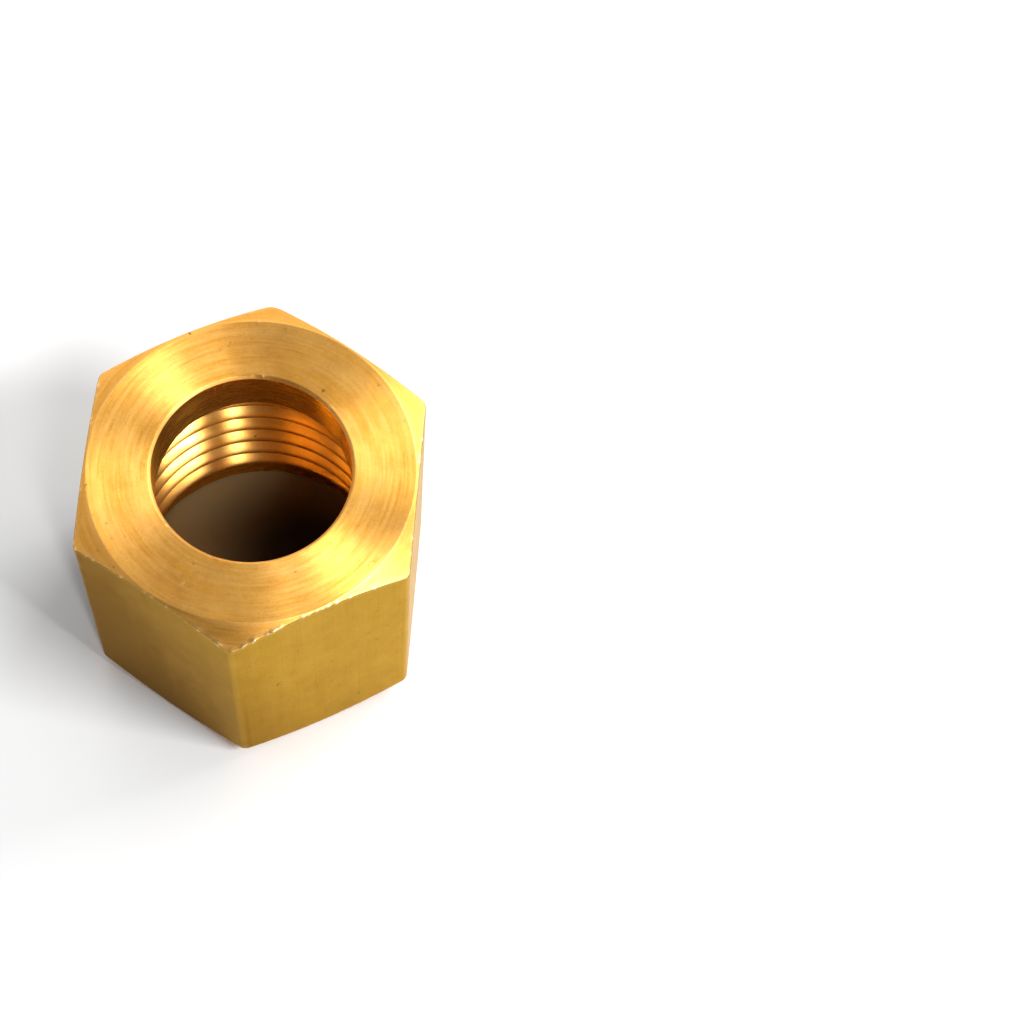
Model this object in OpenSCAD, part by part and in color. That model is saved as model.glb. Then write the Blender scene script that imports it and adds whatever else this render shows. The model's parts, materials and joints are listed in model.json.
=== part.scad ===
// Compression nut: one piece of hexagonal brass bar, turned at both ends.
// The pipe passes through the plain hole at the top. The open end at the
// bottom screws on to a fitting, and the seat cone between the two squeezes
// a ring on to the pipe. +Z is the axis, the open end stands on Z = 0, and
// two of the six flats face -Y and +Y.

/* [Hexagon] */
// Distance between two opposite flats
across_flats = 14; // [13.5:0.5:19]
// Length from the open end to the pipe end
nut_length = 14; // [12:0.5:24]
// Radius of the six long edges of the drawn bar
corner_radius = 0.25; // [0.05:0.05:1]

/* [End faces] */
// Diameter of the flat ring on the pipe end, inside its chamfer
pipe_face_diameter = 13.8; // [11:0.1:13.9]
// Diameter of the flat ring on the open end, inside its chamfer
open_face_diameter = 13.4; // [12.8:0.1:13.9]
// Angle between an end face and its chamfer
chamfer_angle = 30; // [15:1:45]

/* [Pipe hole] */
// Diameter of the hole that the pipe passes through
pipe_hole_diameter = 8.4; // [6:0.1:10]
// Depth of the pipe hole, from the pipe end to the seat cone
pipe_hole_depth = 2.4; // [1:0.1:4]
// Width of the chamfer that breaks the hole's rim
rim_break = 0.12; // [0.05:0.01:0.3]
// Angle between the seat cone and the axis
seat_angle = 45; // [30:1:60]

/* [Thread] */
// Nominal diameter of the internal thread, at its roots
thread_diameter = 12; // [11.5:0.25:12.25]
// Distance from one thread crest to the next
thread_pitch = 1.25; // [0.75:0.25:1.5]
// Width of the plain groove between the seat cone and the thread
relief_width = 0.8; // [0.4:0.1:1.5]
// Depth of the plain lead-in bore at the open end
lead_in_depth = 2; // [0.5:0.25:4]
// Gap between the thread's roots and the wall of the relief and lead-in
root_clearance = 0.1; // [0.05:0.05:0.2]
// Width of the chamfer at the mouth of the lead-in bore
mouth_break = 0.2; // [0.05:0.05:0.25]

/* [Hidden] */
$fn = 96;

brass = [0.86, 0.65, 0.28];
corner_steps = 4;
// The cutting shapes stand this far out of the bar, so that no faces coincide
overshoot = 1;

// A hexagon's corner circle, and the circle that the arcs' centres lie on
corner_circle = across_flats / 2 / cos(30);
corner_centre = (across_flats / 2 - corner_radius) / cos(30);

// A 60 degree thread has flats of a quarter pitch on its crests and an
// eighth on its roots, so it is five eighths of the full triangle deep
root_radius = thread_diameter / 2;
crest_radius = root_radius - 5 / 8 * thread_pitch * cos(30);
crest_flat = thread_pitch / 4;
root_flat = thread_pitch / 8;
flank_width = (thread_pitch - crest_flat - root_flat) / 2;

// Heights of the bore's steps above the open end
pipe_radius = pipe_hole_diameter / 2;
plain_radius = root_radius + root_clearance;
lead_in_end = lead_in_depth + plain_radius - crest_radius;
seat_top = nut_length - pipe_hole_depth;
seat_bottom = seat_top - (crest_radius - pipe_radius) / tan(seat_angle);
thread_top = seat_bottom - relief_width;
thread_length = thread_top - lead_in_end;
groove_count = floor((thread_length - crest_flat) / thread_pitch);
first_groove = lead_in_end
    + (thread_length - (groove_count - 1) * thread_pitch) / 2;

// Outline of the bar: each corner is an arc that meets both flats
function corner_arc(corner) = [
    for (step = [0:corner_steps])
        let (turn = 60 * corner - 30 + 60 * step / corner_steps)
            corner_centre * [cos(60 * corner), sin(60 * corner)]
                + corner_radius * [cos(turn), sin(turn)]
];

// Rise of an end chamfer over the bar's corners, from a face of this diameter
function chamfer_rise(face_diameter) =
    (corner_circle + overshoot - face_diameter / 2) * tan(chamfer_angle);

// The two flanks and the root of one thread groove, as radius and height
function groove(middle) = [
    [crest_radius, middle - root_flat / 2 - flank_width],
    [root_radius, middle - root_flat / 2],
    [root_radius, middle + root_flat / 2],
    [crest_radius, middle + root_flat / 2 + flank_width]
];

module hexagon_bar() {
    linear_extrude(nut_length)
        polygon([for (corner = [0:5]) each corner_arc(corner)]);
}

// Solid of revolution that chamfers both ends of whatever it meets
module end_chamfers() {
    reach = corner_circle + overshoot;
    rotate_extrude()
        polygon([
            [0, 0],
            [open_face_diameter / 2, 0],
            [reach, chamfer_rise(open_face_diameter)],
            [reach, nut_length - chamfer_rise(pipe_face_diameter)],
            [pipe_face_diameter / 2, nut_length],
            [0, nut_length]
        ]);
}

// Everything that is bored out, from the open end up to the pipe end
module bore() {
    rotate_extrude()
        polygon(concat(
            [
                [0, -overshoot],
                [plain_radius + mouth_break + overshoot, -overshoot],
                [plain_radius, mouth_break],
                [plain_radius, lead_in_depth],
                [crest_radius, lead_in_end]
            ],
            [
                for (index = [0:groove_count - 1])
                    each groove(first_groove + index * thread_pitch)
            ],
            [
                [crest_radius, thread_top],
                [plain_radius, thread_top],
                [plain_radius, seat_bottom],
                [crest_radius, seat_bottom],
                [pipe_radius, seat_top],
                [pipe_radius, nut_length - rim_break],
                [pipe_radius + rim_break + overshoot, nut_length + overshoot],
                [0, nut_length + overshoot]
            ]
        ));
}

module nut() {
    color(brass)
        difference() {
            intersection() {
                hexagon_bar();
                end_chamfers();
            }
            bore();
        }
}

nut();
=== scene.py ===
"""Looks of a brass compression nut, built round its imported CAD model.

The nut is one piece of hexagonal brass bar. Its visible mesh is one closed surface,
swept round the axis from the section of the bar and its bore, and it stands in for the
CAD node of the same name. It adds what the CAD leaves out: the true helical thread,
eased edges, the slight waviness of drawn flats and the knocks of handling.

Lengths are in metres, and names that end in _mm are in millimetres. The axis is +Z.
"""

import json
import logging
import math
from dataclasses import dataclass, field
from enum import Enum
from functools import partial
from typing import Any

import bpy
import numpy as np
from mathutils import Matrix, Vector


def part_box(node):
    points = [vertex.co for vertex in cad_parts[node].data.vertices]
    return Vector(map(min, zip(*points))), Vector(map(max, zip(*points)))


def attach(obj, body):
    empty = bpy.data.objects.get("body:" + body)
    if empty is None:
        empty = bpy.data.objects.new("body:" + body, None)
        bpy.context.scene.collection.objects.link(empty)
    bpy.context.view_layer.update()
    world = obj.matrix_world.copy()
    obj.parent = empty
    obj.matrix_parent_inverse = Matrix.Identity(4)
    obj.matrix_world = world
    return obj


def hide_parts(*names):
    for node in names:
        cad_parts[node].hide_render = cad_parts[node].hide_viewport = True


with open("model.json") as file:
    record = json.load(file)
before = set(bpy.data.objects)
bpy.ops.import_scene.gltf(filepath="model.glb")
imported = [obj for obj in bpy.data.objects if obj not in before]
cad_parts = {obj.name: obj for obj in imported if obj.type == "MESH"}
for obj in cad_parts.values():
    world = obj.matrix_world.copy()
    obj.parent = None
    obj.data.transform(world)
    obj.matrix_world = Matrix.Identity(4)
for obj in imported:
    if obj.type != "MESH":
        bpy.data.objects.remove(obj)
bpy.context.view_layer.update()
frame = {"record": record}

LOG = logging.getLogger("compression_nut")
MM = 0.001
TINY = 1e-12
FULL_TURN = 2 * math.pi
TURN_DEGREES = 360
SIDES = 6
SIDE_ANGLE = FULL_TURN / SIDES
WRAP_MAP = "Wrap"
WEAR_ATTRIBUTE = "wear"

# The sRGB curve is straight up to its knee, and a power of the offset value above it
SRGB_KNEE = 0.04045
SRGB_SLOPE = 12.92
SRGB_OFFSET = 0.055
SRGB_POWER = 2.4
BYTE_MAX = 255

Array = np.ndarray


def linear_colour(code: str) -> tuple[float, float, float, float]:
    """Turns an sRGB hex code into the linear colour that a shader takes.

    Args:
        code: Six hex digits after a "#".

    Returns:
        Linear red, green and blue, and an alpha of one.
    """
    channels = [int(code[start:start + 2], 16) / BYTE_MAX for start in (1, 3, 5)]
    linear = [
        c / SRGB_SLOPE if c <= SRGB_KNEE else ((c + SRGB_OFFSET) / (1 + SRGB_OFFSET)) ** SRGB_POWER
        for c in channels
    ]
    return (*linear, 1.0)


def add_node(tree: bpy.types.NodeTree, kind: str, inputs: dict[str, Any] | tuple = (),
             **settings: Any) -> bpy.types.Node:
    """Adds a node with its settings and links.

    Args:
        tree: The node tree that gets the node.
        kind: The node's type name, without the leading "ShaderNode".
        inputs: What goes into the node, in its sockets' order or by their names. It may be
            a plain value, an output socket, or a node, which gives its first output.
        settings: Node properties, such as operation="MULTIPLY".

    Returns:
        The new node.
    """
    node = tree.nodes.new("ShaderNode" + kind)
    for name, value in settings.items():
        setattr(node, name, value)
    sockets = [socket for socket in node.inputs if socket.enabled]
    named = inputs if isinstance(inputs, dict) else dict(enumerate(inputs))
    for key, value in named.items():
        socket = sockets[key] if isinstance(key, int) else next(s for s in sockets if s.name == key)
        if isinstance(value, bpy.types.Node):
            value = next(output for output in value.outputs if output.enabled)
        if isinstance(value, bpy.types.NodeSocket):
            tree.links.new(value, socket)
        else:
            socket.default_value = value
    return node


# ---------------------------------------------------------------------------
# Sizes
# ---------------------------------------------------------------------------


def mount(name: str) -> dict[str, Any]:
    """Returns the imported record's mount of that name."""
    return next(m for m in frame["record"]["mounts"] if m["name"] == name)


@dataclass(frozen=True)
class NutSizes:
    """The nut's sizes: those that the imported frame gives, and a few turning sizes."""

    across_flats: float
    length: float
    pipe_radius: float
    rim_height: float
    seat_top: float
    crest_radius: float
    thread_bottom: float
    thread_top: float
    plain_radius: float
    mouth_height: float
    lead_in_top: float

    # Turning sizes, which no mount in the record states
    corner_radius: float = 0.4 * MM
    pipe_face_radius: float = 6.9 * MM
    open_face_radius: float = 6.7 * MM
    chamfer_slope: float = math.tan(math.radians(30))
    relief_width: float = 0.8 * MM
    pitch: float = 1.25 * MM

    @classmethod
    def from_frame(cls) -> "NutSizes":
        """Reads the box of the CAD nut and the walls that its mounts state.

        Returns:
            The sizes of the nut that was packed.
        """
        low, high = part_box("nut")
        pipe, thread, lead_in = (mount(name) for name in ("pipe_hole", "thread", "lead_in"))

        def ends(wall: dict[str, Any]) -> tuple[float, float]:
            """Returns the heights of a mount's lower and upper end."""
            middle, half = wall["pos_m"][2], wall["dims"]["length_mm"] * MM / 2
            return middle - half, middle + half

        seat_top, rim_height = ends(pipe)
        thread_bottom, thread_top = ends(thread)
        mouth_height, lead_in_top = ends(lead_in)
        return cls(
            across_flats=high.y - low.y,
            length=high.z - low.z,
            pipe_radius=pipe["dims"]["r_mm"] * MM,
            rim_height=rim_height,
            seat_top=seat_top,
            crest_radius=thread["dims"]["r_mm"] * MM,
            thread_bottom=thread_bottom,
            thread_top=thread_top,
            plain_radius=lead_in["dims"]["r_mm"] * MM,
            mouth_height=mouth_height,
            lead_in_top=lead_in_top,
        )

    @property
    def root_radius(self) -> float:
        """A 60 degree thread is five eighths of its full triangle deep."""
        return self.crest_radius + 5 / 8 * self.pitch * math.cos(math.radians(30))

    @property
    def seat_bottom(self) -> float:
        """Height where the relief groove begins, under the seat cone."""
        return self.thread_top + self.relief_width


# ---------------------------------------------------------------------------
# Shape
# ---------------------------------------------------------------------------


class Surface(Enum):
    """The stretches of the nut's skin, each cut or drawn in its own way."""

    OPEN_FACE = "open_face"
    CHAMFER = "chamfer"
    FLAT = "flat"
    PIPE_FACE = "pipe_face"
    RIM = "rim"
    LAND = "land"
    SEAT = "seat"
    RELIEF = "relief"
    THREAD = "thread"
    LEAD_IN = "lead_in"


@dataclass(frozen=True)
class HexOutline:
    """Cross-section of the drawn bar: six flats that meet in small round corners."""

    across_flats: float
    corner_radius: float
    corner_steps: int = 8
    flat_steps: int = 62
    wave_height: float = 0.0022 * MM
    wave_count: int = 9
    wave_orders: tuple[int, int] = (14, 70)
    seed: int = 11

    def points(self) -> tuple[Array, Array]:
        """Places the outline's points, from the corner on +X and once round the axis.

        One side is half a corner arc, a flat and half an arc. An arc point is the arc's
        centre plus the corner radius at an even turn. A flat's points run evenly from one
        end to the other. The side is then turned into its six places.

        Returns:
            Radius and angle of each point, as two arrays of one length.
        """
        inner = (self.across_flats / 2 - self.corner_radius) / math.cos(SIDE_ANGLE / 2)
        half_arc = np.linspace(0, SIDE_ANGLE / 2, self.corner_steps // 2 + 1)
        arc = inner + self.corner_radius * np.exp(1j * half_arc)
        far_arc = np.exp(1j * SIDE_ANGLE) * np.conj(arc[::-1])
        flat = np.linspace(arc[-1], far_arc[0], self.flat_steps + 1)[1:-1]
        side = np.concatenate([arc, flat, far_arc[:-1]])
        turns = np.exp(1j * SIDE_ANGLE * np.arange(SIDES))
        outline = (turns[:, None] * side[None, :]).ravel()
        angle = np.unwrap(np.angle(outline))
        return np.abs(outline) + self.waviness(angle), angle

    def waviness(self, angle: Array) -> Array:
        """Gives the drawing die's slight waves, a mean of sines that fade at the corners.

        Each sine has a whole number of waves round the bar, its order.

        Args:
            angle: Angles round the axis.

        Returns:
            What the waves add to the radius at each angle.
        """
        random = np.random.default_rng(self.seed)
        orders = random.integers(*self.wave_orders, self.wave_count)[:, None]
        phases = random.uniform(0, FULL_TURN, self.wave_count)[:, None]
        waves = np.sin(orders * angle + phases).mean(axis=0)
        fade = np.sin(SIDES / 2 * angle) ** 2
        return self.wave_height * waves * fade


@dataclass(frozen=True)
class Corner:
    """A corner of the section, and the wall that leads on from it to the next corner."""

    radius: Array | float
    height: Array | float
    ease: float
    wall: Surface
    rows: int


@dataclass
class Strip:
    """Rows of the swept surface: radius and height by row and column, and each row's wall."""

    radius: Array
    height: Array
    walls: list[Surface]


# An ease takes at most this share of the shorter wall beside its corner
EASE_LIMIT = 0.45
# Rows of an eased corner, half of them on each of its walls
EASE_ROWS = 4


def eased_strip(corners: list[Corner], columns: int) -> Strip:
    """Joins corners with straight walls and eases each corner between two of them.

    An eased corner is a quadratic curve (1-t)^2 A + 2t(1-t) C + t^2 B through the points
    A and B that lie on the two walls, the ease away from the corner C. A wall's own rows
    follow half a cosine, so they crowd towards its ends. The first and last corner are
    plain points.

    Args:
        corners: The section's corners in order, at least two.
        columns: How many angles the surface is swept through.

    Returns:
        The strip of rows from the first corner to the last.
    """
    places = np.array([
        [np.broadcast_to(np.asarray(value, float), (columns,)) for value in (c.radius, c.height)]
        for c in corners
    ])
    steps = np.diff(places, axis=0)
    lengths = np.hypot(steps[:, 0], steps[:, 1])
    directions = steps / lengths[:, None, :]
    rows, walls = [places[0]], [corners[0].wall]
    leave = places[0]
    curve = np.linspace(0, 1, EASE_ROWS)[:, None, None]
    for index, corner in enumerate(corners[:-1]):
        following = corners[index + 1]
        last = index == len(corners) - 2
        if last:
            arrive = places[-1]
        else:
            shorter = np.minimum(lengths[index], lengths[index + 1])
            reach = np.minimum(following.ease, EASE_LIMIT * shorter)
            arrive = places[index + 1] - directions[index] * reach
        share = (1 - np.cos(np.linspace(0, np.pi, corner.rows + 1)[1:-1])) / 2
        rows.extend(leave + share[:, None, None] * (arrive - leave))
        walls.extend([corner.wall] * len(share))
        if last:
            rows.append(arrive)
            walls.append(corner.wall)
        else:
            leave = places[index + 1] + directions[index + 1] * reach
            eased = (1 - curve) ** 2 * arrive + 2 * curve * (1 - curve) * places[index + 1]
            rows.extend(eased + curve ** 2 * leave)
            walls.extend([corner.wall] * (EASE_ROWS // 2) + [following.wall] * (EASE_ROWS // 2))
    grid = np.array(rows)
    return Strip(grid[:, 0], grid[:, 1], walls)


def rows_of(walls: list[Surface], surface: Surface) -> Array:
    """Returns the rows that lie on a surface."""
    return np.flatnonzero([wall is surface for wall in walls])


def edge_row(walls: list[Surface], surface: Surface, stretch: int) -> Array:
    """Finds the row where one stretch of a surface begins.

    Args:
        walls: Each row's surface.
        surface: The surface that begins at the edge.
        stretch: Which of its stretches, counted from 0, or -1 for the last.

    Returns:
        An array of one row.
    """
    rows = rows_of(walls, surface)
    starts = rows[np.concatenate([[True], np.diff(rows) > 1])]
    return starts[stretch:][:1]


@dataclass(frozen=True)
class ThreadForm:
    """The right-hand internal thread, as a radius for every angle and height."""

    crest_radius: float
    root_radius: float
    pitch: float
    root_edge: float = 1 / 16
    crest_edge: float = 7 / 16
    softness: float = 0.15

    def radius(self, angle: Array, height: Array) -> Array:
        """Gives the wall's radius: crests and roots, and straight flanks between them.

        The distance from the middle of the nearest groove, in pitches, comes from the
        fraction of height / pitch - angle / full turn. The groove's depth falls from one
        to zero between the root edge and the crest edge, and a smooth clamp, softer for
        a larger softness, rounds the corners there.

        Args:
            angle: Angles round the axis, one for each column.
            height: Heights, one for each row or one for each point.

        Returns:
            The radius at each row and column.
        """
        turns = height / self.pitch - angle[None, :] / FULL_TURN
        distance = np.abs(turns - np.floor(turns) - 0.5)
        depth = (self.crest_edge - distance) / (self.crest_edge - self.root_edge)
        clamped = (np.hypot(depth, self.softness) - np.hypot(depth - 1, self.softness) + 1) / 2
        return self.crest_radius + (self.root_radius - self.crest_radius) * clamped


@dataclass(frozen=True)
class Knocks:
    """Small dents and burrs left by handling and by the cutting tools."""

    count: int
    size: tuple[float, float]
    height: tuple[float, float]
    seed: int

    def shift(self, points: Array, normals: Array, rows: Array, columns: Array) -> Array:
        """Says how far the skin moves along its normal, for knocks at random places.

        Each knock adds height * exp(-(distance / size)^2) round its middle.

        Args:
            points: Points by row and column.
            normals: Outward unit normals by row and column; not used.
            rows: The rows that a knock may hit.
            columns: The columns that a knock may hit.

        Returns:
            The shift by row and column.
        """
        random = np.random.default_rng(self.seed)
        total = np.zeros(points.shape[:2])
        for _ in range(self.count):
            middle = points[random.choice(rows), random.choice(columns)]
            size = random.uniform(*self.size)
            height = random.uniform(*self.height)
            apart = np.linalg.norm(points - middle, axis=2)
            total += height * np.exp(-(apart / size) ** 2)
        return total


@dataclass
class CompressionNut:
    """The whole nut: its sizes, the surface that follows from them and its finishes.

    The eases are how far each kind of corner is rounded off along its walls. The knocks
    give how many there are, their size and height, and their seed. The span of the burr
    row is in degrees round the axis, and an edge is a turn of more than edge_turn radians.
    """

    sizes: NutSizes
    node: str = "nut"
    body: str = "root"
    slot: str = "brass"
    thread_rows_per_pitch: int = 14
    bored_ease: float = 0.02 * MM
    faced_ease: float = 0.03 * MM
    open_rim_ease: float = 0.04 * MM
    pipe_corner_ease: float = 0.07 * MM
    groove_ease: float = 0.08 * MM
    open_corner_ease: float = 0.14 * MM
    burrs: Knocks = Knocks(45, (0.06 * MM, 0.10 * MM), (0.005 * MM, 0.025 * MM), 5)
    burr_row: Knocks = Knocks(17, (0.05 * MM, 0.09 * MM), (0.015 * MM, 0.035 * MM), 33)
    burr_row_span: tuple[float, float] = (-120.0, -82.0)
    rim_burrs: Knocks = Knocks(16, (0.06 * MM, 0.12 * MM), (-0.02 * MM, 0.018 * MM), 6)
    corner_dents: Knocks = Knocks(26, (0.12 * MM, 0.35 * MM), (-0.03 * MM, -0.008 * MM), 7)
    corner_band: float = 0.01 * MM
    face_specks: Knocks = Knocks(9, (0.06 * MM, 0.09 * MM), (-0.015 * MM, 0.03 * MM), 8)
    edge_rub: float = 0.2
    edge_turn: float = 0.12
    edge_wear_reach: float = 0.12 * MM
    corner_wear_reach: float = 0.04 * MM
    rubbed_height: float = 0.015 * MM
    finishes: dict[Surface, "BrassFinish"] = field(default_factory=dict)

    def section(self, radius: Array, angle: Array) -> list[Strip]:
        """Lists the strips of the section, from the lead-in bore round to the thread.

        The walls run down the lead-in bore, out over the open end, up the flats, in over
        the pipe end and down through the hole, the seat cone and the relief groove. The
        thread closes the loop.

        Args:
            radius: Radius of the bar's outline at each column.
            angle: Angle of each column.

        Returns:
            Two strips whose ends meet.
        """
        s = self.sizes
        low_edge = s.chamfer_slope * (radius - s.open_face_radius)
        high_edge = s.length - s.chamfer_slope * (radius - s.pipe_face_radius)
        thread = ThreadForm(s.crest_radius, s.root_radius, s.pitch)
        mouth_radius = s.plain_radius + s.mouth_height
        rim_radius = s.pipe_radius + s.length - s.rim_height
        bored, faced = self.bored_ease, self.faced_ease
        # Radius, height and ease of a corner, then the wall that follows and its rows
        corners = [
            Corner(s.plain_radius, s.lead_in_top, 0, Surface.LEAD_IN, 6),
            Corner(s.plain_radius, s.mouth_height, faced, Surface.OPEN_FACE, 3),
            Corner(mouth_radius, 0, faced, Surface.OPEN_FACE, 5),
            Corner(s.open_face_radius, 0, self.open_rim_ease, Surface.CHAMFER, 8),
            Corner(radius, low_edge, self.open_corner_ease, Surface.FLAT, 26),
            Corner(radius, high_edge, self.pipe_corner_ease, Surface.CHAMFER, 8),
            Corner(s.pipe_face_radius, s.length, faced, Surface.PIPE_FACE, 16),
            Corner(rim_radius, s.length, faced, Surface.RIM, 3),
            Corner(s.pipe_radius, s.rim_height, faced, Surface.LAND, 12),
            Corner(s.pipe_radius, s.seat_top, bored, Surface.SEAT, 8),
            Corner(s.crest_radius, s.seat_bottom, bored, Surface.RELIEF, 4),
            Corner(s.plain_radius, s.seat_bottom, self.groove_ease, Surface.RELIEF, 5),
            Corner(s.plain_radius, s.thread_top, bored, Surface.RELIEF, 4),
            Corner(thread.radius(angle, s.thread_top)[0], s.thread_top, 0, Surface.THREAD, 2),
        ]
        turned = eased_strip(corners, len(angle))
        rows = round(self.thread_rows_per_pitch * (s.thread_top - s.lead_in_top) / s.pitch)
        height = np.linspace(s.thread_top, s.lead_in_top, rows + 1)[1:-1, None]
        # A 45 degree countersink leads from the plain bore into the thread
        countersink = s.plain_radius - (height - s.lead_in_top)
        wall = np.maximum(thread.radius(angle, height), countersink)
        threaded = Strip(wall, np.broadcast_to(height, wall.shape), [Surface.THREAD] * len(height))
        return [turned, threaded]

    def surface(self) -> tuple[Array, list[Surface], Array, Array]:
        """Sweeps the section round the axis into a grid that closes both ways.

        Returns:
            Points by row and column, each row's wall, how worn each point is, and the
            wrap map by row and column, with one more row and column than the points.
        """
        s = self.sizes
        outline = HexOutline(s.across_flats, s.corner_radius)
        radius, angle = outline.points()
        strips = self.section(radius, angle)
        rings = np.concatenate([strip.radius for strip in strips])
        heights = np.concatenate([strip.height for strip in strips])
        walls = [wall for strip in strips for wall in strip.walls]
        points = np.stack([rings * np.cos(angle), rings * np.sin(angle), heights], axis=2)
        wear = self.wear(points, radius)
        normals = self.normals(points)
        every_column = np.arange(len(angle))
        corner_columns = np.flatnonzero(radius > radius.max() - self.corner_band)
        half = TURN_DEGREES / 2
        turned_back = (np.degrees(angle) + half) % TURN_DEGREES - half
        first, last = self.burr_row_span
        row_columns = np.flatnonzero((turned_back > first) & (turned_back < last))
        top_edge = edge_row(walls, Surface.CHAMFER, -1)
        shift = (
            self.burrs.shift(points, normals, top_edge, every_column)
            + self.burr_row.shift(points, normals, top_edge, row_columns)
            + self.rim_burrs.shift(points, normals, edge_row(walls, Surface.RIM, 0), every_column)
            + self.corner_dents.shift(points, normals, rows_of(walls, Surface.FLAT), corner_columns)
            + self.face_specks.shift(points, normals, rows_of(walls, Surface.PIPE_FACE), every_column)
        )
        points = points + normals * shift[:, :, None]
        # Only what stands proud gets rubbed bright
        wear = np.maximum(wear, np.clip(shift / self.rubbed_height, 0, 1))
        return points, walls, wear, self.wrap(points)

    def normals(self, points: Array) -> Array:
        """Gives outward unit normals, the cross product of the grid's two directions."""
        around = np.roll(points, -1, axis=1) - np.roll(points, 1, axis=1)
        along = np.roll(points, -1, axis=0) - np.roll(points, 1, axis=0)
        cross = np.cross(around, along)
        return cross / np.maximum(np.linalg.norm(cross, axis=2, keepdims=True), TINY)

    def wear(self, points: Array, outline_radius: Array) -> Array:
        """Finds how rubbed each point is: most on an edge, and nothing away from it.

        An edge is where the section turns sharply from one row to the next, and wear is
        exp(-(distance / reach)^2) of the way along the section to the nearest one. A
        hexagon corner wears in the same way by how far a point is inside its circle.

        Args:
            points: Points by row and column.
            outline_radius: Radius of the bar's outline at each column.

        Returns:
            Wear by row and column.
        """
        steps = np.linalg.norm(np.diff(points, axis=0, append=points[:1]), axis=2).mean(axis=1)
        ring = np.hypot(points[:, :, 0], points[:, :, 1]).mean(axis=1)
        height = points[:, :, 2].mean(axis=1)
        direction = np.unwrap(np.arctan2(np.roll(height, -1) - height, np.roll(ring, -1) - ring))
        turn = np.abs((direction - np.roll(direction, 1) + np.pi) % FULL_TURN - np.pi)
        place = np.concatenate([[0], np.cumsum(steps)[:-1]])
        edges = place[(turn > self.edge_turn) & (height > 0)]
        apart = np.abs(place[:, None] - edges[None, :]).min(axis=1)
        edge_wear = np.exp(-(apart / self.edge_wear_reach) ** 2)[:, None]
        corner = np.hypot(points[:, :, 0], points[:, :, 1]) - outline_radius.max()
        corner_wear = np.exp(-(corner / self.corner_wear_reach) ** 2)
        return self.edge_rub * np.maximum(edge_wear, corner_wear)

    def wrap(self, points: Array) -> Array:
        """Measures the skin in millimetres, round the axis and along the section.

        Args:
            points: Points by row and column.

        Returns:
            Both measures by row and column, with a closing row and column.
        """
        closed = np.concatenate([points, points[:, :1]], axis=1)
        closed = np.concatenate([closed, closed[:1]], axis=0)
        angle = np.unwrap(np.arctan2(closed[0, :, 1], closed[0, :, 0]))
        angle[-1] = angle[0] + FULL_TURN
        radius = np.hypot(points[..., 0], points[..., 1])
        outline = np.concatenate([radius.max(axis=0), radius.max(axis=0)[:1]])
        bar = outline * np.exp(1j * angle)
        around = np.concatenate([[0], np.cumsum(np.abs(np.diff(bar)))])
        steps = np.linalg.norm(np.diff(closed, axis=0), axis=2)
        along = np.concatenate([np.zeros((1, steps.shape[1])), np.cumsum(steps, axis=0)])
        return np.stack([np.broadcast_to(around, along.shape), along], axis=2) / MM

    def build(self) -> bpy.types.Object:
        """Builds the nut's mesh and puts it in the scene.

        Returns:
            The nut, at the origin.
        """
        points, walls, wear, wrap = self.surface()
        rows, columns = points.shape[:2]
        row, column = np.meshgrid(np.arange(rows), np.arange(columns), indexing="ij")
        next_row, next_column = row + 1, column + 1
        corners = [(row, column), (row, next_column), (next_row, next_column), (next_row, column)]
        faces = np.stack([r % rows * columns + c % columns for r, c in corners], axis=2)
        corner_map = np.stack([wrap[r, c] for r, c in corners], axis=2)

        mesh = bpy.data.meshes.new(self.node + "_skin")
        mesh.from_pydata(points.reshape(-1, 3), [], faces.reshape(-1, 4).tolist())
        finishes = list(dict.fromkeys(self.finishes.values()))
        for finish in finishes:
            mesh.materials.append(finish.make())
        slots = np.repeat([finishes.index(self.finishes[wall]) for wall in walls], columns)
        mesh.polygons.foreach_set("material_index", slots.astype(np.int32))
        mesh.polygons.foreach_set("use_smooth", np.ones(len(slots), bool))
        layer = mesh.uv_layers.new(name=WRAP_MAP)
        layer.data.foreach_set("uv", corner_map.astype(np.float32).ravel())
        attribute = mesh.attributes.new(WEAR_ATTRIBUTE, "FLOAT", "POINT")
        attribute.data.foreach_set("value", wear.astype(np.float32).ravel())
        mesh.update()

        piece = bpy.data.objects.new("nut_skin", mesh)
        bpy.context.scene.collection.objects.link(piece)
        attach(piece, self.body)
        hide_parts(self.node)
        return piece


# ---------------------------------------------------------------------------
# Finishes
# ---------------------------------------------------------------------------


class Grain(Enum):
    """Which way the marks of making run on a stretch of the skin."""

    AROUND = "round the axis"
    ALONG = "along the axis"


# How often the marks change along their own line: per unit of heading round the axis,
# and per metre along the bar
DRIFT_AROUND = 2.5
DRIFT_ALONG = 120.0
# Broad marks lie this many times as far apart as fine ones, and make up this share of both
BROAD_MARKS = 6
BROAD_SHARE = 0.4
MARK_DETAIL = 3.0
NOISE_ROUGHNESS = 0.6

# Noise on the skin: the size of its patches, and how many finer layers it has
CLOUD_NOISE = (3.5 * MM, 4.0)
MOTTLING_NOISE = (0.9 * MM, 3.0)
SPECK_NOISE = (0.45 * MM, 2.0)
PIT_NOISE = (0.09 * MM, 1.0)

# The part of each noise's range that is stretched to run from nothing to all
MARK_RANGE = (0.32, 0.68)
CLOUD_RANGE = (0.35, 0.75)
MOTTLING_RANGE = (0.3, 0.7)
SPECK_RANGE = (0.70, 0.78)
PIT_RANGE = (0.3, 0.7)

MOTTLING_SHARE = 0.4
SOIL_COVER = 0.6
PIT_RELIEF_SHARE = 0.2
STAIN_DULLING = 0.05
WEAR_POLISH = 0.05
# Painted shade: the metal is painted darker, towards its tarnish colour, this way, low down on the -X
# side, which reflects the nut's shadow on the floor; it is at full strength this far out
PAINTED_SHADE_HEADING = (-1.0, 0.0, -0.25)
PAINTED_SHADE_REACH = 7.0 * MM
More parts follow.
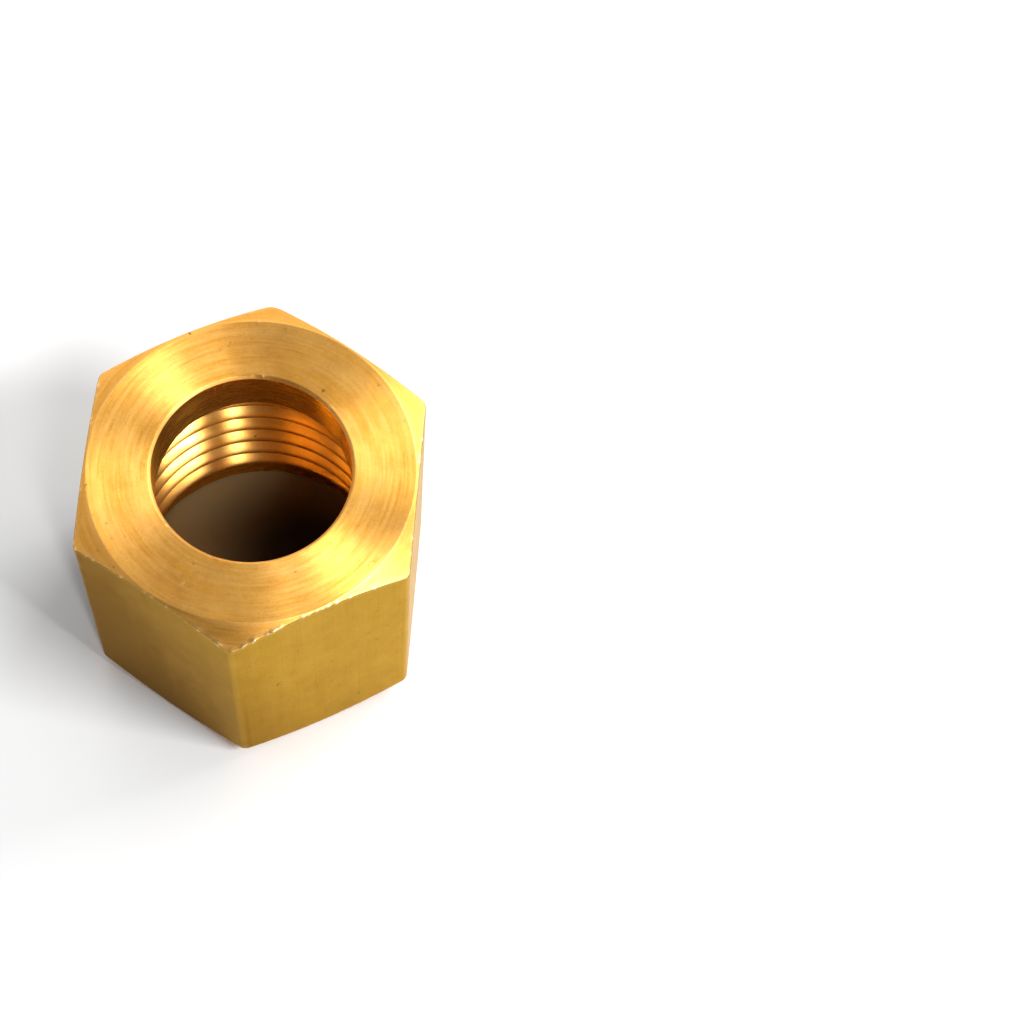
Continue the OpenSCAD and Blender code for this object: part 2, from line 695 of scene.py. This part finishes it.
# The shader counts its rotation in full turns
QUARTER_TURN = 0.25


@dataclass(frozen=True)
class BrassFinish:
    """Bare brass, and how a tool or a die has left its surface.

    The contrasts say how much the marks and the pitting change the metal's brightness and its
    roughness. The painted side shade is how far the metal is painted darker, towards its tarnish
    colour, low down on the -X side, for the shadowed floor that side reflects. The shines are
    how much paler the metal is on the marks' ridges and on rubbed edges.
    """

    name: str
    metal: str
    tarnish_and_shade: str
    pale: str
    grain: Grain
    mark_pitch: float
    mark_depth: float
    roughness: float
    anisotropy: float
    mark_contrast: float = 0.16
    gloss_contrast: float = 0.16
    pit_contrast: float = 0.12
    tarnish_share: float = 0.5
    # Painted side shade: how far the metal is painted darker low down on the -X side
    painted_side_shade: float = 0.0
    ridge_shine: float = 0.35
    edge_shine: float = 0.5
    grazing_tint: str = "#F8DEB0"
    soil: str = "#5A3416"

    def make(self) -> bpy.types.Material:
        """Builds the shader: coloured metal, tool marks in its bump and gloss, and wear.

        Returns:
            The new material.
        """
        material = bpy.data.materials.new(self.name)
        material.use_nodes = True
        tree = material.node_tree
        tree.nodes.clear()
        node = partial(add_node, tree)

        place = node("TexCoord").outputs["Object"]
        split = node("SeparateXYZ", (place,)).outputs
        ring = node("CombineXYZ", (split["X"], split["Y"]))
        worn = node("Attribute", attribute_name=WEAR_ATTRIBUTE).outputs["Fac"]

        # Marks change fast across the grain and slowly along it
        if self.grain is Grain.AROUND:
            radius = node("VectorMath", (ring,), operation="LENGTH")
            across = node("Math", (radius, split["Z"]), operation="SUBTRACT")
            heading = node("VectorMath", (ring,), operation="NORMALIZE")
            along = node("SeparateXYZ", (heading,)).outputs
            unrolled = node("CombineXYZ", (across, along["X"], along["Y"]))
            drift = DRIFT_AROUND
        else:
            wrap = node("SeparateXYZ", (node("UVMap", uv_map=WRAP_MAP),)).outputs
            across = node("Math", (wrap["X"], MM), operation="MULTIPLY")
            unrolled = node("CombineXYZ", (across, split["Z"]))
            drift = DRIFT_ALONG
        fine, broad = (
            node("TexNoise", {
                "Vector": node("VectorMath", (unrolled, (1 / pitch, drift, drift)), operation="MULTIPLY"),
                "Scale": 1.0, "Detail": MARK_DETAIL, "Roughness": NOISE_ROUGHNESS,
            })
            for pitch in (self.mark_pitch, BROAD_MARKS * self.mark_pitch)
        )
        both = node("Mix", {"Factor": BROAD_SHARE, "A": fine, "B": broad})
        marks = node("MapRange", (both, *MARK_RANGE))

        # Clouds of tarnish, mottling, dark specks and fine pits, the same in every direction
        clouds, mottling, specks, pits = (
            node("TexNoise", {
                "Vector": place, "Scale": 1 / size, "Detail": detail, "Roughness": NOISE_ROUGHNESS,
            })
            for size, detail in (CLOUD_NOISE, MOTTLING_NOISE, SPECK_NOISE, PIT_NOISE)
        )
        cloudy = node("MapRange", (clouds, *CLOUD_RANGE))
        mottled = node("MapRange", (mottling, *MOTTLING_RANGE))
        dusky = node("Mix", {"Factor": MOTTLING_SHARE, "A": cloudy, "B": mottled})
        # Painted shade: darker towards the tarnish colour low down on the -X side, for the shadowed floor
        # that side reflects
        low_side = node("VectorMath", (place, PAINTED_SHADE_HEADING), operation="DOT_PRODUCT")
        side_shade_share = node("MapRange", {
            "Value": low_side, "From Min": 0.0, "From Max": PAINTED_SHADE_REACH, "To Max": self.painted_side_shade,
        })
        darkening = node("Math", (dusky, self.tarnish_share, side_shade_share), operation="MULTIPLY_ADD",
                     use_clamp=True)

        # Colour: clean metal, stained metal with painted shade low on the -X side, paler ridges and
        # edges, then soil in the specks
        metal = node("Mix", {
            "Factor": darkening, "A": linear_colour(self.metal), "B": linear_colour(self.tarnish_and_shade),
        }, data_type="RGBA")
        ridges = node("Math", (marks, self.ridge_shine), operation="MULTIPLY")
        rubbed = node("Math", (worn, self.edge_shine), operation="MULTIPLY")
        fresh = node("Math", (ridges, rubbed), operation="MAXIMUM")
        brighter = node("Mix", {"Factor": fresh, "A": metal, "B": linear_colour(self.pale)},
                        data_type="RGBA")
        soiled = node("MapRange", (specks, *SPECK_RANGE, 0.0, SOIL_COVER))
        colour = node("Mix", {"Factor": soiled, "A": brighter, "B": linear_colour(self.soil)},
                      data_type="RGBA")
        mark_shade = node("MapRange", {
            "Value": marks, "To Min": 1 - self.mark_contrast / 2, "To Max": 1 + self.mark_contrast / 2,
        })
        pit_shade = node("MapRange", (
            pits, *PIT_RANGE, 1 - self.pit_contrast / 2, 1 + self.pit_contrast / 2,
        ))
        shade = node("Math", (mark_shade, pit_shade), operation="MULTIPLY")
        shaded = node("VectorMath", (colour, shade), operation="SCALE")

        # Gloss: ridges are duller than furrows, stains are dull and rubbed edges are bright
        streaky = node("MapRange", {
            "Value": marks,
            "To Min": self.roughness - self.gloss_contrast / 2,
            "To Max": self.roughness + self.gloss_contrast / 2,
        })
        dulled = node("Math", (darkening, STAIN_DULLING, streaky), operation="MULTIPLY_ADD")
        rough = node("Math", (worn, -WEAR_POLISH, dulled), operation="MULTIPLY_ADD", use_clamp=True)
        relief = node("Mix", {"Factor": PIT_RELIEF_SHARE, "A": marks, "B": pits})
        bump = node("Bump", {"Strength": 1.0, "Distance": self.mark_depth, "Height": relief})
        around = node("VectorMath", ((0.0, 0.0, 1.0), place), operation="CROSS_PRODUCT")
        shader = node("BsdfPrincipled", {
            "Base Color": shaded, "Metallic": 1.0, "Roughness": rough, "Normal": bump,
            "Anisotropic": self.anisotropy,
            "Anisotropic Rotation": QUARTER_TURN if self.grain is Grain.AROUND else 0.0,
            "Tangent": around,
            "Specular Tint": linear_colour(self.grazing_tint),
        })
        node("OutputMaterial", (shader,))
        return material


def nut_finishes() -> dict[Surface, BrassFinish]:
    """Says how each stretch of the nut's skin was made.

    The marks of a real tool or die lie about 0.03 to 0.06 mm apart, which is too fine to
    show, so they are drawn here two or three times as far apart.

    Returns:
        The finish of every surface.
    """
    # Faced on a lathe: rings of fine marks that throw two fans of light across the end
    faced = BrassFinish("faced_brass_end", "#F0AB3E", "#CC8028", "#FCDC90", Grain.AROUND,
                        mark_pitch=0.13 * MM, mark_depth=0.005 * MM, roughness=0.42,
                        anisotropy=0.92, mark_contrast=0.2, tarnish_share=0.85)
    # Chamfered on a lathe: closer and shallower marks, so each facet has an even, soft glow
    chamfered = BrassFinish("chamfered_brass_edge", "#EEAB45", "#D99538", "#FFE6B0", Grain.AROUND,
                            mark_pitch=0.12 * MM, mark_depth=0.003 * MM, roughness=0.47,
                            anisotropy=0.7, ridge_shine=0.12, edge_shine=0.8)
    # Drawn through a die and handled: faint streaks along the bar, a duller and greener
    # skin than cut brass has, patchy brown stains, and painted shade that darkens it
    # towards the -X side, low down
    drawn = BrassFinish("drawn_brass_flat", "#AC8A3C", "#5A2A0A", "#EACA80", Grain.ALONG,
                        mark_pitch=0.11 * MM, mark_depth=0.002 * MM, roughness=0.31,
                        anisotropy=0.5, mark_contrast=0.08, gloss_contrast=0.10,
                        pit_contrast=0.14, tarnish_share=0.3, painted_side_shade=1.2,
                        ridge_shine=0.12, edge_shine=0.8)
    # Bored: close rings inside the hole, which draw each light out into an upright column
    bored = BrassFinish("bored_brass_hole", "#E9A43C", "#C98430", "#F2BE62", Grain.AROUND,
                        mark_pitch=0.08 * MM, mark_depth=0.0012 * MM, roughness=0.26,
                        anisotropy=0.85, mark_contrast=0.1, gloss_contrast=0.06,
                        ridge_shine=0.15)
    # Tapped: burnished by the tap, so the flanks shine, with marks along the thread
    tapped = BrassFinish("tapped_brass_thread", "#F0B04A", "#C47A28", "#FAD890", Grain.AROUND,
                         mark_pitch=0.10 * MM, mark_depth=0.0003 * MM, roughness=0.28,
                         anisotropy=0.95, gloss_contrast=0.04, mark_contrast=0.08)
    return {
        Surface.OPEN_FACE: faced,
        Surface.CHAMFER: chamfered,
        Surface.FLAT: drawn,
        Surface.PIPE_FACE: faced,
        Surface.RIM: chamfered,
        Surface.LAND: bored,
        Surface.SEAT: bored,
        Surface.RELIEF: bored,
        Surface.THREAD: tapped,
        Surface.LEAD_IN: bored,
    }


# ---------------------------------------------------------------------------
# Studio
# ---------------------------------------------------------------------------


def direction(azimuth: float, elevation: float) -> Vector:
    """Returns the unit vector at that azimuth from +X and that elevation, in degrees."""
    a, e = math.radians(azimuth), math.radians(elevation)
    return Vector((math.cos(a) * math.cos(e), math.sin(a) * math.cos(e), math.sin(e)))


def facing(place: Vector, target: Vector, roll: float = 0.0) -> Matrix:
    """Places something that looks along its own -Z, such as a camera or a softbox.

    Args:
        place: Where it stands.
        target: What it looks at.
        roll: Turn about its line of sight, in degrees.

    Returns:
        Its world matrix.
    """
    turn = (target - place).to_track_quat("-Z", "Y").to_matrix().to_4x4()
    return Matrix.Translation(place) @ turn @ Matrix.Rotation(math.radians(roll), 4, "Z")


@dataclass(frozen=True)
class Softbox:
    """A rectangular studio light. Its brightness is in units of fully lit white paper."""

    name: str
    azimuth: float
    elevation: float
    distance: float
    width: float
    height: float
    brightness: float
    colour: str = "#FFFFFF"

    def hang(self, target: Vector) -> None:
        """Hangs the softbox so that it faces a point."""
        light = bpy.data.lights.new(self.name, "AREA")
        light.shape = "RECTANGLE"
        light.size, light.size_y = self.width, self.height
        light.energy = self.brightness * math.pi * self.width * self.height
        light.color = linear_colour(self.colour)[:3]
        holder = bpy.data.objects.new(self.name, light)
        bpy.context.scene.collection.objects.link(holder)
        place = target + self.distance * direction(self.azimuth, self.elevation)
        holder.matrix_world = facing(place, target)


@dataclass(frozen=True)
class RoomPatch:
    """A round patch of the room that is lighter or darker than the rest of it.

    It has its full level inside the inner angle from its middle, and fades to nothing
    at the outer angle. Angles are in degrees.
    """

    azimuth: float
    elevation: float
    inner: float
    outer: float
    level: float


@dataclass(frozen=True)
class Viewpoint:
    """The camera: where it stands round the nut, and what floor point its axis goes through."""

    azimuth: float = -107.86
    elevation: float = 66.91
    distance: float = 110.63 * MM
    aim: tuple[float, float] = (12.317 * MM, -1.187 * MM)
    roll: float = 7.255
    lens_mm: float = 87.27
    sensor_mm: float = 36.0
    clip: tuple[float, float] = (0.005, 50.0)

    def place(self, centre: Vector) -> None:
        """Puts the scene's camera at this viewpoint, round a centre."""
        camera = bpy.data.cameras.new("camera")
        camera.lens, camera.sensor_width = self.lens_mm, self.sensor_mm
        camera.clip_start, camera.clip_end = self.clip
        holder = bpy.data.objects.new("camera", camera)
        bpy.context.scene.collection.objects.link(holder)
        stand = centre + self.distance * direction(self.azimuth, self.elevation)
        holder.matrix_world = facing(stand, Vector((*self.aim, 0)), self.roll)
        bpy.context.scene.camera = holder


@dataclass
class Studio:
    """Pale floor, room light, softboxes and the camera.

    The card under the nut is painted darker for the shadow inside the bore, with a painted warm
    bounce round it. The painted shade runs from its darkest, out to its inner radius from its
    middle, to the warm bounce at its outer radius. It ends over its fade at its edge radius from
    the axis, under the nut.
    """

    centre: Vector
    floor_size: float = 4.0
    card: str = "#D0D0D0"
    card_roughness: float = 0.7
    # Painted shade on the card inside the bore, and a painted warm bounce round it
    painted_floor_shade: str = "#1E1406"
    painted_warm_bounce: str = "#C8BA88"
    painted_shade_middle: tuple[float, float] = (2.4 * MM, 0.6 * MM)
    painted_shade_inner: float = 1.4 * MM
    painted_shade_outer: float = 7.2 * MM
    painted_shade_edge: float = 6.6 * MM
    painted_shade_fade: float = 0.2 * MM
    room_level: float = 0.1
    # Seen from the camera: behind the nut, on the left, low behind, and high on the right
    patches: tuple[RoomPatch, ...] = (
        RoomPatch(68.0, 46.0, 12.0, 40.0, 1.2),
        RoomPatch(150.0, 25.0, 10.0, 45.0, 0.45),
        RoomPatch(70.0, 8.0, 10.0, 50.0, 0.6),
        RoomPatch(-26.0, 71.0, 4.0, 16.0, 2.6),
    )
    # Seen from the camera: right and behind, right and in front, and beside the camera
    softboxes: tuple[Softbox, ...] = (
        Softbox("key_softbox", 14.0, 37.0, 0.6, 0.36, 0.20, 14.5),
        Softbox("bore_softbox", -51.0, 50.0, 0.6, 0.20, 0.08, 80.0),
        Softbox("camera_softbox", -93.0, 55.0, 0.6, 0.035, 0.14, 52.0),
    )

    def floor(self) -> bpy.types.Object:
        """Lays the pale floor that the nut stands on.

        Returns:
            The floor, marked as part of the stage.
        """
        half = self.floor_size / 2
        corners = np.array([[-half, -half, 0], [half, -half, 0], [half, half, 0], [-half, half, 0]])
        mesh = bpy.data.meshes.new("floor")
        mesh.from_pydata(corners.tolist(), [], [(0, 1, 2, 3)])
        material = bpy.data.materials.new("matt_white_card")
        material.use_nodes = True
        tree = material.node_tree
        tree.nodes.clear()
        # Painted shade: the card inside the bore is darkened for the bore's shadow and tinted warm for
        # light bounced off the brass, and nowhere else
        place = add_node(tree, "TexCoord").outputs["Object"]
        apart = add_node(tree, "VectorMath", (place, (*self.painted_shade_middle, 0.0)), operation="DISTANCE")
        shade_falloff = add_node(tree, "MapRange", {
            "Value": apart, "From Min": self.painted_shade_inner, "From Max": self.painted_shade_outer,
        }, interpolation_type="SMOOTHSTEP")
        darkening = add_node(tree, "Mix", {
            "Factor": shade_falloff, "A": linear_colour(self.painted_floor_shade), "B": linear_colour(self.painted_warm_bounce),
        }, data_type="RGBA")
        radius = add_node(tree, "VectorMath", (place,), operation="LENGTH")
        outside = add_node(tree, "MapRange", {
            "Value": radius, "From Min": self.painted_shade_edge - self.painted_shade_fade, "From Max": self.painted_shade_edge,
        })
        shade = add_node(tree, "Mix", {
            "Factor": outside, "A": darkening, "B": linear_colour(self.card),
        }, data_type="RGBA")
        shader = add_node(tree, "BsdfPrincipled", {
            "Base Color": shade, "Roughness": self.card_roughness,
        })
        add_node(tree, "OutputMaterial", (shader,))
        mesh.materials.append(material)
        floor = bpy.data.objects.new("floor", mesh)
        bpy.context.scene.collection.objects.link(floor)
        return floor

    def room(self) -> None:
        """Fills the room with soft white light, and shows colours as they are.

        The light from a direction is the room's level plus each patch's level times a
        smooth step of the cosine of the angle from the patch's middle.
        """
        world = bpy.data.worlds.new("room")
        world.use_nodes = True
        tree = world.node_tree
        tree.nodes.clear()
        heading = add_node(tree, "TexCoord").outputs["Generated"]
        level: Any = self.room_level
        for patch in self.patches:
            middle = direction(patch.azimuth, patch.elevation)
            share = add_node(tree, "MapRange", {
                "Value": add_node(tree, "VectorMath", (heading, middle), operation="DOT_PRODUCT"),
                "From Min": math.cos(math.radians(patch.outer)),
                "From Max": math.cos(math.radians(patch.inner)),
            }, interpolation_type="SMOOTHSTEP")
            level = add_node(tree, "Math", (share, patch.level, level), operation="MULTIPLY_ADD")
        glow = add_node(tree, "Background", {"Color": (1.0, 1.0, 1.0, 1.0), "Strength": level})
        add_node(tree, "OutputWorld", (glow,))
        bpy.context.scene.world = world
        bpy.context.scene.view_settings.view_transform = "Standard"

    def set_up(self) -> None:
        """Builds the whole studio round the nut."""
        self.floor()
        self.room()
        for softbox in self.softboxes:
            softbox.hang(self.centre)
        Viewpoint().place(self.centre)


def main() -> None:
    """Builds the nut and its studio, and logs the nut's faces and finishes."""
    logging.basicConfig(level=logging.INFO, format="%(message)s")
    nut = CompressionNut(NutSizes.from_frame(), finishes=nut_finishes())
    piece = nut.build()
    LOG.info("%s: %d faces, %d finishes", piece.name, len(piece.data.polygons),
             len(piece.data.materials))
    low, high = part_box("nut")
    Studio(centre=(low + high) / 2).set_up()
    LOG.info("studio: floor, room light and camera")


if __name__ == "__main__":
    main()
